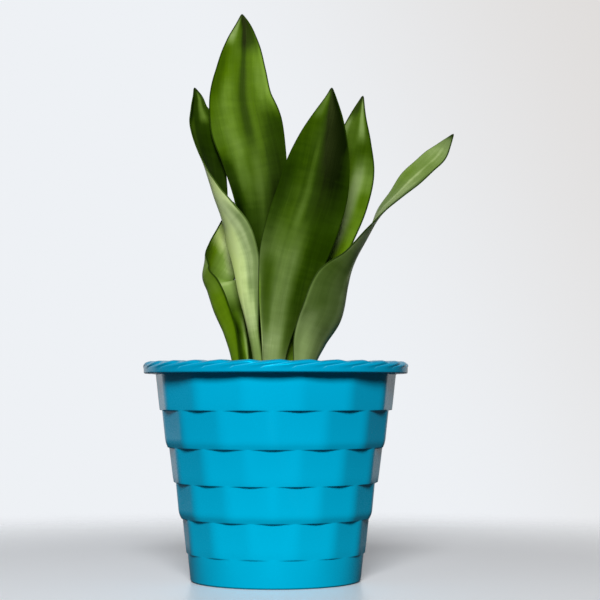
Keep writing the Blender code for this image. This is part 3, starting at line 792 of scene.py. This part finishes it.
def rim_rings():
    """Return the rim's rings of points from its underside, round the outside, to the inside.

    The second list says for each point how strongly a painted highlight lies on it, along a ridge's edge
    line.
    """
    roll_centre = RIM_RADIUS - RIM_ROLL
    bulge = RIM_UNDERSIDE + RIM_BULGE
    top = RIM_UNDERSIDE + RIM_HEIGHT
    inner_centre = RIM_INNER_RADIUS + RIM_INNER_ROUND
    spots = []
    for degrees in np.linspace(*RIM_OUTER_ARC, RIM_OUTER_STEPS):
        rise = RIM_BULGE if degrees < 0.0 else top - bulge
        spots.append((degrees, roll_centre, RIM_ROLL, bulge, rise))
    for degrees in np.linspace(*RIM_INNER_ARC, RIM_INNER_STEPS):
        spots.append((degrees, inner_centre, RIM_INNER_ROUND, top - RIM_INNER_ROUND, RIM_INNER_ROUND))
    rings = []
    painted_highlights = []
    for degrees, centre, reach, middle, rise in spots:
        out = math.cos(math.radians(degrees))
        up = math.sin(math.radians(degrees))
        squareness = RIM_SQUARENESS if degrees < 0.0 else RIM_TOP_SQUARENESS
        if degrees < 90.0:
            out = max(out, 0.0) ** squareness
            up = math.copysign(abs(up) ** squareness, up)
        lift, sweep, painted_highlight = (
            float(np.interp(degrees, RIDGE_DIRECTIONS, values))
            for values in (RIDGE_LIFTS, RIDGE_SWEEPS, RIDGE_PAINTED_HIGHLIGHTS)
        )
        ring = []
        for ridge in range(RIDGES):
            for step in RIDGE_STEPS:
                angle = RIDGE_START + (ridge + step) * math.tau / RIDGES + RIDGE_SWEEP * sweep
                height = RIDGE_HEIGHT * lift * ridge_rise(step)
                radius = centre + reach * out + height * out
                level = middle + rise * up + height * up
                ring.append(around(angle, radius, level))
                painted_highlights.append(painted_highlight if step == 0.0 else 0.0)
        rings.append(ring)
    return rings, painted_highlights


def nearest_shift(first, second):
    """Return the number of the second ring's point that lies nearest to the first ring's first point."""
    offsets = [(point[0] - first[0][0]) ** 2 + (point[1] - first[0][1]) ** 2 for point in second]
    return int(np.argmin(offsets))


def build_pot():
    """Build the pot: ridged rim, rounded facets, base band, foot, inside and drain holes."""
    angles = facet_angles()
    count = len(angles)
    spin = np.stack((np.sin(angles), -np.cos(angles)), axis=1)

    def placed(ring):
        return [(*(radius * way), height) for (radius, height), way in zip(ring, spin)]

    rim, painted_highlights = rim_rings()
    wall = [placed(ring) for ring in wall_rings(angles)]
    inside = [
        placed(np.tile((wall_radius(height), height), (count, 1)))
        for height in (WALL_TOP, SOIL_LEVEL, FLOOR_TOP)
    ]
    vertices = [point for ring in rim + wall + inside for point in ring]
    faces = []

    def band(first, second, shift=0, flip=False):
        faces.extend(ring_faces(first * count, second * count, count, shift, flip))

    for index in range(len(rim) - 1):
        band(index, index + 1)
    wall_start = len(rim)
    inside_start = wall_start + len(wall)
    band(0, wall_start, nearest_shift(rim[0], wall[0]), flip=True)
    for index in range(wall_start, inside_start - 1):
        band(index, index + 1, flip=True)
    band(wall_start - 1, inside_start, nearest_shift(rim[-1], inside[0]))
    for index in range(inside_start, inside_start + len(inside) - 1):
        band(index, index + 1)
    for ring, flip in ((inside_start - 1, True), (inside_start + len(inside) - 1, False)):
        add_cap(vertices, faces, ring * count, count, vertices[ring * count][2], flip)
    pot = add_piece("pot_moulded", vertices, faces, plastic_material())
    write_attribute(pot.data, "painted_highlight", painted_highlights + [0.0] * (len(vertices) - len(painted_highlights)))
    drill_holes(pot)
    pot.data.set_sharp_from_angle(angle=SHARP_ANGLE)
    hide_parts("pot")


def drill_holes(pot):
    """Cut the ring of drain holes through the pot's floor."""
    bm = bmesh.new()
    for hole in range(DRAIN_HOLES):
        place = Vector(around(hole * math.tau / DRAIN_HOLES, DRAIN_CIRCLE, FLOOR_TOP / 2.0))
        bmesh.ops.create_cone(bm, cap_ends=True, segments=DRAIN_SIDES, radius1=DRAIN_RADIUS,
                              radius2=DRAIN_RADIUS, depth=2.0 * FLOOR_TOP, matrix=Matrix.Translation(place))
    mesh = bpy.data.meshes.new("drill")
    bm.to_mesh(mesh)
    bm.free()
    drill = bpy.data.objects.new("drill", mesh)
    bpy.context.collection.objects.link(drill)
    cut = pot.modifiers.new("drain_holes", "BOOLEAN")
    cut.operation = "DIFFERENCE"
    cut.solver = "EXACT"
    cut.object = drill
    depsgraph = bpy.context.evaluated_depsgraph_get()
    pot.data = bpy.data.meshes.new_from_object(pot.evaluated_get(depsgraph))
    pot.modifiers.clear()
    bpy.data.objects.remove(drill)


# Leaves


def smooth_track(stations, count):
    """Return rows on a smooth curve through the stations, closer together at the tip."""
    points = np.array(stations, dtype=float)
    steps = np.linalg.norm(np.diff(points[:, :3], axis=0), axis=1)
    along = np.concatenate(((0.0,), np.cumsum(steps)))
    slopes = np.diff(points, axis=0) / steps[:, None]
    weight = (steps[:-1] / (steps[:-1] + steps[1:]))[:, None]
    tangents = np.vstack((slopes[:1], slopes[:-1] * (1.0 - weight) + slopes[1:] * weight, slopes[-1:]))
    rows = []
    for part in np.linspace(0.0, 1.0, count):
        place = along[-1] * (1.0 - (1.0 - part) ** TIP_CROWDING)
        index = min(int(np.searchsorted(along, place, side="right")) - 1, len(steps) - 1)
        span = steps[index]
        way = (place - along[index]) / span
        rows.append(
            (2 * way**3 - 3 * way**2 + 1) * points[index]
            + (way**3 - 2 * way**2 + way) * span * tangents[index]
            + (3 * way**2 - 2 * way**3) * points[index + 1]
            + (way**3 - way**2) * span * tangents[index + 1]
        )
    return np.array(rows)


def full_stations(stations):
    """Put the straight stretch that stands in the soil before the first station."""
    first = stations[0]
    buried = [(*first[:2], height, *first[3:]) for height in LEAF_STRAIGHT]
    return buried + list(stations)


def row_frames(rows):
    """Return each row's centre, its direction across the blade and its direction to the inner face."""
    centres = rows[:, :3]
    tangents = np.gradient(centres, axis=0)
    tangents /= np.linalg.norm(tangents, axis=1)[:, None]
    front = np.tile((0.0, -1.0, 0.0), (len(rows), 1))
    front -= tangents * np.sum(front * tangents, axis=1)[:, None]
    front /= np.linalg.norm(front, axis=1)[:, None]
    side = np.cross(tangents, front)
    turn = np.radians(rows[:, 4])[:, None]
    inward = front * np.cos(turn) + side * np.sin(turn)
    across = side * np.cos(turn) - front * np.sin(turn)
    return centres, across, inward


def loop_points():
    """Return one turn round a leaf's section: place across, direction round the edge and face.

    The direction is 0 where the point lies on the inner face, 180 on the outer face and between
    them on the rounded margin.
    """
    spread = np.sin(np.linspace(-1.0, 1.0, LEAF_COLUMNS) * COLUMN_CROWDING * math.pi / 2.0)
    places = spread / spread[-1]
    inner = [(place, 0.0) for place in places]
    right = [(1.0, degrees) for degrees in EDGE_ARC]
    outer = [(place, 180.0) for place in places[::-1]]
    left = [(-1.0, degrees) for degrees in reversed(EDGE_ARC)]
    return np.array(inner + right + outer + left)


def paint(face_marks_and_light, places, parts):
    """Return the tone and wax at places across and parts along one face of a leaf.

    The tone carries painted shade and highlights, and the wax painted reflection.
    """
    levels = np.array(face_marks_and_light["levels"])
    tone = np.interp(parts, levels[:, 0], levels[:, 1])
    wax_and_reflection = np.interp(parts, levels[:, 0], levels[:, 2])
    for start, end, first, last, width, add_tone, add_wax_and_reflection in face_marks_and_light["strokes"]:
        run = (parts - start) / (end - start)
        middle = first + (last - first) * np.clip(run, 0.0, 1.0)
        ends = np.clip(np.minimum(run, 1.0 - run) * STROKE_FADE, 0.0, 1.0)
        body = np.exp(-(np.abs((places - middle) / width) ** STROKE_EDGE))
        strength = body * ends * ends * (3.0 - 2.0 * ends)
        tone = tone + add_tone * strength
        wax_and_reflection = wax_and_reflection + add_wax_and_reflection * strength
    return tone, wax_and_reflection


def build_leaf(name, stations, material):
    """Build one leaf as a fine closed blade along its stations.

    The rows, the length along them and the section's loop are returned with it for its shading.
    """
    rows = smooth_track(full_stations(stations), LEAF_ROWS)
    centres, across, inward = row_frames(rows)
    loop = loop_points()
    count = len(loop)
    steps = np.linalg.norm(np.diff(centres, axis=0), axis=1)
    length = np.concatenate(((0.0,), np.cumsum(steps)))
    taper = np.clip((length[-1] - length) / TIP_ROUND, TIP_SMALLEST, 1.0)
    taper = np.sqrt(1.0 - (1.0 - taper) ** 2)
    growth = np.linspace(0.0, 1.0, LEAF_ROWS)
    middle_thickness = np.interp(growth, THICKNESS_PARTS, THICKNESSES)
    place = loop[:, 0]
    turn = np.radians(loop[:, 1])
    half_width = ((rows[:, 3] - MARGIN_THICKNESS / 2.0) * taper)[:, None]
    cup = rows[:, 5][:, None]
    lean = 2.0 * cup * place
    hypotenuse = np.hypot(lean, 1.0)
    thick = MARGIN_THICKNESS + (middle_thickness[:, None] - MARGIN_THICKNESS) * (1.0 - place**2)
    half = thick * taper[:, None] / 2.0
    level = cup * half_width * (place**2 - CUP_LEVEL)
    to_face = half * np.cos(turn)
    to_edge = half * np.sin(turn) * np.sign(place)
    sideways = place * half_width + (to_edge - to_face * lean) / hypotenuse
    forwards = level + (to_face + to_edge * lean) / hypotenuse
    points = (centres[:, None] + across[:, None] * sideways[:, :, None]
              + inward[:, None] * forwards[:, :, None])
    faces = []
    for row in range(LEAF_ROWS - 1):
        faces.extend(ring_faces(row * count, (row + 1) * count, count))
    for start, flip in ((0, True), ((LEAF_ROWS - 1) * count, False)):
        for index in range(count // 2 - 1):
            face = (start + index, start + index + 1, start + count - 2 - index, start + count - 1 - index)
            faces.append(face[::-1] if flip else face)
    leaf = add_piece(name + "_blade", points.reshape(-1, 3), faces, material)
    return leaf, rows, length, loop


def blend(first, second, part):
    """Return a blend of two values, with the part that the second has in it."""
    return first * (1.0 - part) + second * part


def shade_leaf(leaf, name, rows, length, loop):
    """Write the tone, wax and flat coordinates of a leaf to its mesh.

    The tone carries painted shade and highlights, and the wax painted reflection.
    """

    def round_loop(values):
        return np.repeat(values, len(loop))

    soil_row = int(np.argmax(rows[:, 2] > SOIL_LEVEL))
    visible = length - length[soil_row]
    parts = round_loop(np.clip(visible / visible[-1], 0.0, 1.0))
    widths = round_loop(rows[:, 3])
    places = np.tile(loop[:, 0], len(rows))
    outward = np.tile(0.5 - 0.5 * np.cos(np.radians(loop[:, 1])), len(rows))
    inner, outer = MARKS_AND_PAINTED_LIGHT[name, "inner"], MARKS_AND_PAINTED_LIGHT[name, "outer"]
    inner_tone, inner_wax_and_reflection = paint(inner, places, parts)
    outer_tone, outer_wax_and_reflection = paint(outer, places, parts)
    tone = blend(inner_tone, outer_tone, outward)
    wax_and_reflection = blend(inner_wax_and_reflection, outer_wax_and_reflection, outward)
    margin_tone = blend(inner["margin"], outer["margin"], outward)
    edge = np.exp(-(((1.0 - np.abs(places)) * widths / MARGIN_LINE) ** 2))
    tone = blend(tone, margin_tone, edge)
    needle = np.exp(-((round_loop(length[-1] - length) / NEEDLE_LENGTH) ** 2))
    write_attribute(leaf.data, "tone", blend(tone, NEEDLE_TONE, needle))
    # The wax here also carries painted reflection
    write_attribute(leaf.data, "wax_and_reflection", blend(wax_and_reflection, 1.0, needle))
    pattern = outward + list(LEAVES).index(name) * PATTERN_STEP
    write_attribute(leaf.data, "flat", np.stack((places * widths, round_loop(length), pattern), axis=1))


def build_leaves():
    """Build and shade all the leaves."""
    for name, stations in LEAVES.items():
        leaf, rows, length, loop = build_leaf(name, stations, leaf_material(name + "_skin"))
        shade_leaf(leaf, name, rows, length, loop)
        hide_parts(name)


# Soil


def soil_height(x, y):
    """Return the height of the soil's surface, with finer grains than the frame's solid."""
    outward = math.hypot(x, y) / wall_radius(SOIL_LEVEL)
    lumps = noise.noise(Vector((x, y, 0.0)) / SOIL_LUMP)
    crumbs = noise.noise(Vector((x, y, SOIL_LUMP)) / SOIL_CRUMB)
    grains = noise.noise(Vector((x, y, 0.0)) / SOIL_GRAIN)
    mound = SOIL_MOUND * (1.0 - outward * outward)
    relief = SOIL_LUMP_RISE * lumps + SOIL_CRUMB_RISE * crumbs + SOIL_GRAIN_RISE * grains
    return SOIL_LEVEL + mound + relief


def build_soil():
    """Build the block of soil with its grainy top."""
    vertices = []
    for ring in range(1, SOIL_RINGS + 1):
        radius = (wall_radius(SOIL_LEVEL) - GAP) * ring / SOIL_RINGS
        for side in range(SOIL_SIDES):
            spot = around(math.tau * side / SOIL_SIDES, radius)
            vertices.append((*spot, soil_height(*spot)))
    bottom = FLOOR_TOP + GAP
    for side in range(SOIL_SIDES):
        vertices.append(around(math.tau * side / SOIL_SIDES, wall_radius(bottom) - GAP, bottom))
    faces = []
    for ring in range(SOIL_RINGS):
        faces.extend(ring_faces(ring * SOIL_SIDES, (ring + 1) * SOIL_SIDES, SOIL_SIDES, flip=True))
    add_cap(vertices, faces, 0, SOIL_SIDES, soil_height(0.0, 0.0))
    add_cap(vertices, faces, SOIL_RINGS * SOIL_SIDES, SOIL_SIDES, bottom, flip=True)
    soil = add_piece("soil_bed", vertices, faces,
                     soil_material("potting_soil", SOIL_DARK, SOIL_LIGHT, SOIL_PATTERN))
    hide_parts("soil")


def leaf_feet():
    """Return points along the sections in which the leaves pass the soil's surface."""
    feet = []
    for stations in LEAVES.values():
        rows = np.array(full_stations(stations)[1:len(LEAF_STRAIGHT)])
        centres, across, inward = row_frames(rows)
        half_width, cup = rows[0, 3], rows[0, 5]
        for place in np.linspace(-1.0, 1.0, FOOT_POINTS):
            level = cup * half_width * (place**2 - CUP_LEVEL)
            feet.append((centres[0] + across[0] * place * half_width + inward[0] * level)[:2])
    return np.array(feet)


def build_litter():
    """Scatter crumbs, bark and perlite over the soil, clear of the leaves and the pot's wall."""
    bm = bmesh.new()
    bmesh.ops.create_icosphere(bm, subdivisions=2, radius=1.0)
    ball = [vertex.co.copy() for vertex in bm.verts]
    ball_faces = [tuple(vertex.index for vertex in face.verts) for face in bm.faces]
    bm.free()
    chooser = random.Random(LITTER_SEED)
    feet = leaf_feet()
    for name, number, smallest, largest, width, height, dark, light, scale in LITTER:
        vertices = []
        faces = []
        while len(faces) < number * len(ball_faces):
            size = smallest + (largest - smallest) * chooser.random() ** 2
            reach = wall_radius(SOIL_LEVEL) - LITTER_CLEARANCE - size
            angle = chooser.uniform(0.0, math.tau)
            radius = reach * math.sqrt(chooser.random())
            spot = np.array(around(angle, radius))
            if np.min(np.linalg.norm(feet - spot, axis=1)) < LITTER_CLEARANCE + size:
                continue
            turn = Matrix.Rotation(chooser.uniform(0.0, math.tau), 3, "Z")
            turn = turn @ Matrix.Rotation(chooser.uniform(-LITTER_TILT, LITTER_TILT), 3, "X")
            centre = Vector((*spot, soil_height(*spot) + size * height * LITTER_RAISE))
            seed = Vector((chooser.uniform(0.0, LITTER_SPREAD), chooser.uniform(0.0, LITTER_SPREAD), 0.0))
            first = len(vertices)
            for point in ball:
                swell = 1.0 + LITTER_SWELL * noise.noise(point * LITTER_SWELL_SCALE + seed)
                grain = Vector((point.x, point.y * width, point.z * height)) * size * swell
                vertices.append(centre + turn @ grain)
            faces.extend(tuple(first + index for index in face) for face in ball_faces)
        piece = add_piece(name, vertices, faces, soil_material(name, dark, light, scale))


# Room


def build_floor():
    """Lay the pale floor."""
    size = FLOOR_FADE[1]
    vertices = [(-size, -size, 0.0), (size, -size, 0.0), (size, size, 0.0), (-size, size, 0.0)]
    floor = add_piece("floor", vertices, [(0, 1, 2, 3)], floor_material(), body=None)
    floor.visible_diffuse = False
    floor.visible_glossy = False


def hang_lamps():
    """Hang the soft square lamps, which face the object."""
    for name, place, width, power, colour in LAMPS:
        data = bpy.data.lights.new(name, "AREA")
        data.size = width
        data.energy = power
        data.color = colour
        lamp = bpy.data.objects.new(name, data)
        lamp.location = place
        lamp.rotation_euler = (Vector(LAMP_TARGET) - Vector(place)).to_track_quat("-Z", "Y").to_euler()
        bpy.context.collection.objects.link(lamp)


def light_room():
    """Light the room from all sides, most from the wall behind the object."""
    nodes = Nodes("pale_room", world=True)
    direction = nodes.add("ShaderNodeTexCoord").outputs["Generated"]
    axes = nodes.add("ShaderNodeSeparateXYZ", {0: direction}).outputs
    corner = nodes.fit(nodes.math("MULTIPLY_ADD", axes["Z"], ROOM_CORNER_RISE, axes["X"]), *ROOM_CORNER)
    nodes.set_input(nodes.shader, "Color", nodes.mix(corner, ROOM_COLOUR, ROOM_CORNER_COLOUR))
    bright = 1.0
    for axis, *fade in ROOM_EDGES:
        bright = nodes.math("MULTIPLY", bright, nodes.fit(axes[axis], *fade))
    strength = nodes.math("MULTIPLY_ADD", bright, ROOM_BEHIND - ROOM_FAINT, ROOM_FAINT)
    seen = nodes.add("ShaderNodeLightPath").outputs["Is Camera Ray"]
    nodes.set_input(nodes.shader, "Strength", nodes.math("MAXIMUM", seen, strength))
    bpy.context.scene.world = nodes.owner


def build_camera():
    """Place the camera in front of the object, tilted up a little."""
    data = bpy.data.cameras.new("camera")
    data.lens = CAMERA_LENS
    data.sensor_width = CAMERA_SENSOR
    data.clip_start = CAMERA_NEAR
    camera = bpy.data.objects.new("camera", data)
    camera.location = CAMERA_PLACE
    camera.rotation_euler = (math.pi / 2.0 + CAMERA_TILT, 0.0, 0.0)
    bpy.context.collection.objects.link(camera)
    bpy.context.scene.camera = camera


build_camera()
bpy.context.scene.view_settings.view_transform = "Standard"
build_pot()
build_soil()
build_litter()
build_leaves()
build_floor()
hang_lamps()
light_room()
